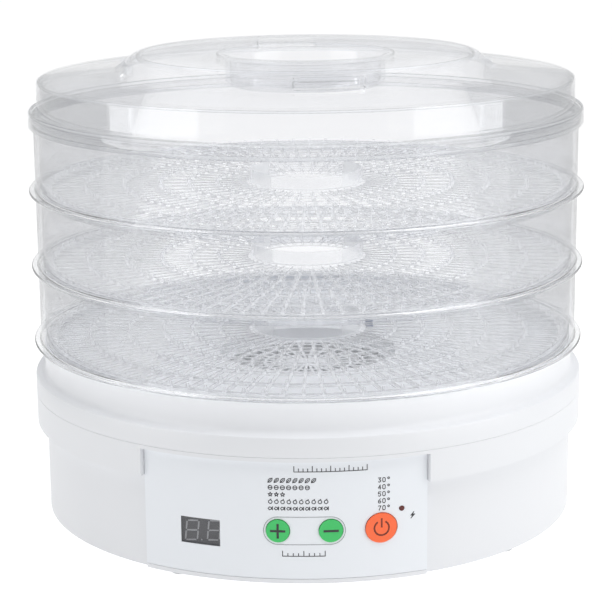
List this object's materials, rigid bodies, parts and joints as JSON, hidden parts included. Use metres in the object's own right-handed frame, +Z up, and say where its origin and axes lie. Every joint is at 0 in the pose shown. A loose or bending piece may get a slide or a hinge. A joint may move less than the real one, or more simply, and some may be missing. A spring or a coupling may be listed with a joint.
{
  "type": "food dehydrator",
  "caption": "Round stacking food dehydrator: white fan and heater base with a digital panel, clear nesting trays with grid floors, and a clear vented lid.",
  "frame": {"origin": "on the vertical axis, in the plane of the feet's undersides", "axes": "+Z up along the axis of the stack; the front panel faces -Y"},
  "size_m": [0.32, 0.32, 0.2681],
  "materials": {
    "clear_plastic": "clear moulded polystyrene, polished",
    "white_plastic": "white moulded polypropylene, satin gloss",
    "panel_film": "white plate with a printed film",
    "smoked_window": "smoked clear pane",
    "display_black": "dark module face",
    "green_key": "green moulded key",
    "orange_key": "orange moulded key",
    "lamp_lens": "dark red lens, unlit",
    "rubber_foot": "light grey rubber",
    "black_plastic": "black moulded plastic",
    "board": "circuit board with green mask",
    "steel": "zinc-plated steel",
    "core_steel": "stacked laminations",
    "copper_winding": "enamelled copper winding, taped",
    "bright_sheet": "aluminised sheet",
    "mica": "mica board",
    "resistance_wire": "coiled resistance wire",
    "component": "electronic component bodies"
  },
  "bodies": {
    "base": {"board_screws": "steel", "bottom_cover": "white_plastic", "capacitor": "component", "control_board": "board", "control_chip": "black_plastic", "cord_gland": "black_plastic", "display_module": "display_black", "display_window": "smoked_window", "foot_front_left": "rubber_foot", "foot_front_right": "rubber_foot", "foot_rear_left": "rubber_foot", "foot_rear_right": "rubber_foot", "front_panel": "panel_film", "heater_coils": "resistance_wire", "heater_duct": "bright_sheet", "heater_frame": "mica", "housing_screws": "steel", "lower_bearing_bracket": "steel", "lower_housing": "white_plastic", "motor_coil": "copper_winding", "motor_mount": "steel", "motor_screws": "steel", "motor_stator": "core_steel", "outlet_guard": "white_plastic", "power_board": "board", "power_board_screws": "steel", "power_lamp": "lamp_lens", "relay": "component", "tact_switches": "black_plastic", "temperature_sensor": "component", "terminal_block": "component", "thermal_fuse": "component", "thermostat": "component", "transformer": "core_steel", "upper_bearing_bracket": "steel", "upper_housing": "white_plastic"},
    "tray_bottom": {"tray_bottom": "clear_plastic"},
    "tray_middle": {"tray_middle": "clear_plastic"},
    "tray_top": {"tray_top": "clear_plastic"},
    "lid": {"lid": "clear_plastic"},
    "plus_key": {"plus_button": "green_key", "plus_plunger": "black_plastic"},
    "minus_key": {"minus_button": "green_key", "minus_plunger": "black_plastic"},
    "power_key": {"power_button": "orange_key", "power_plunger": "black_plastic"},
    "fan": {"motor_shaft": "steel", "motor_rotor": "core_steel", "fan_impeller": "black_plastic"}
  },
  "joints": [
    {"name": "tray_bottom_lift", "type": "slide", "parent": "base", "child": "tray_bottom", "axis": [0, 0, 1], "range_m": [0, 0.08]},
    {"name": "tray_middle_lift", "type": "slide", "parent": "tray_bottom", "child": "tray_middle", "axis": [0, 0, 1], "range_m": [0, 0.08]},
    {"name": "tray_top_lift", "type": "slide", "parent": "tray_middle", "child": "tray_top", "axis": [0, 0, 1], "range_m": [0, 0.08]},
    {"name": "lid_lift", "type": "slide", "parent": "tray_top", "child": "lid", "axis": [0, 0, 1], "range_m": [0, 0.1]},
    {"name": "plus_press", "type": "slide", "parent": "base", "child": "plus_key", "axis": [0, 1, 0], "range_m": [0, 0.0008], "stiffness_N_per_m": 600, "springref_m": -0.001},
    {"name": "minus_press", "type": "slide", "parent": "base", "child": "minus_key", "axis": [0, 1, 0], "range_m": [0, 0.0008], "stiffness_N_per_m": 600, "springref_m": -0.001},
    {"name": "power_press", "type": "slide", "parent": "base", "child": "power_key", "axis": [0, 1, 0], "range_m": [0, 0.0008], "stiffness_N_per_m": 600, "springref_m": -0.001},
    {"name": "fan_spin", "type": "hinge", "parent": "base", "child": "fan", "pos_m": [0, 0, 0.058], "axis": [0, 0, 1], "continuous": true}
  ]
}
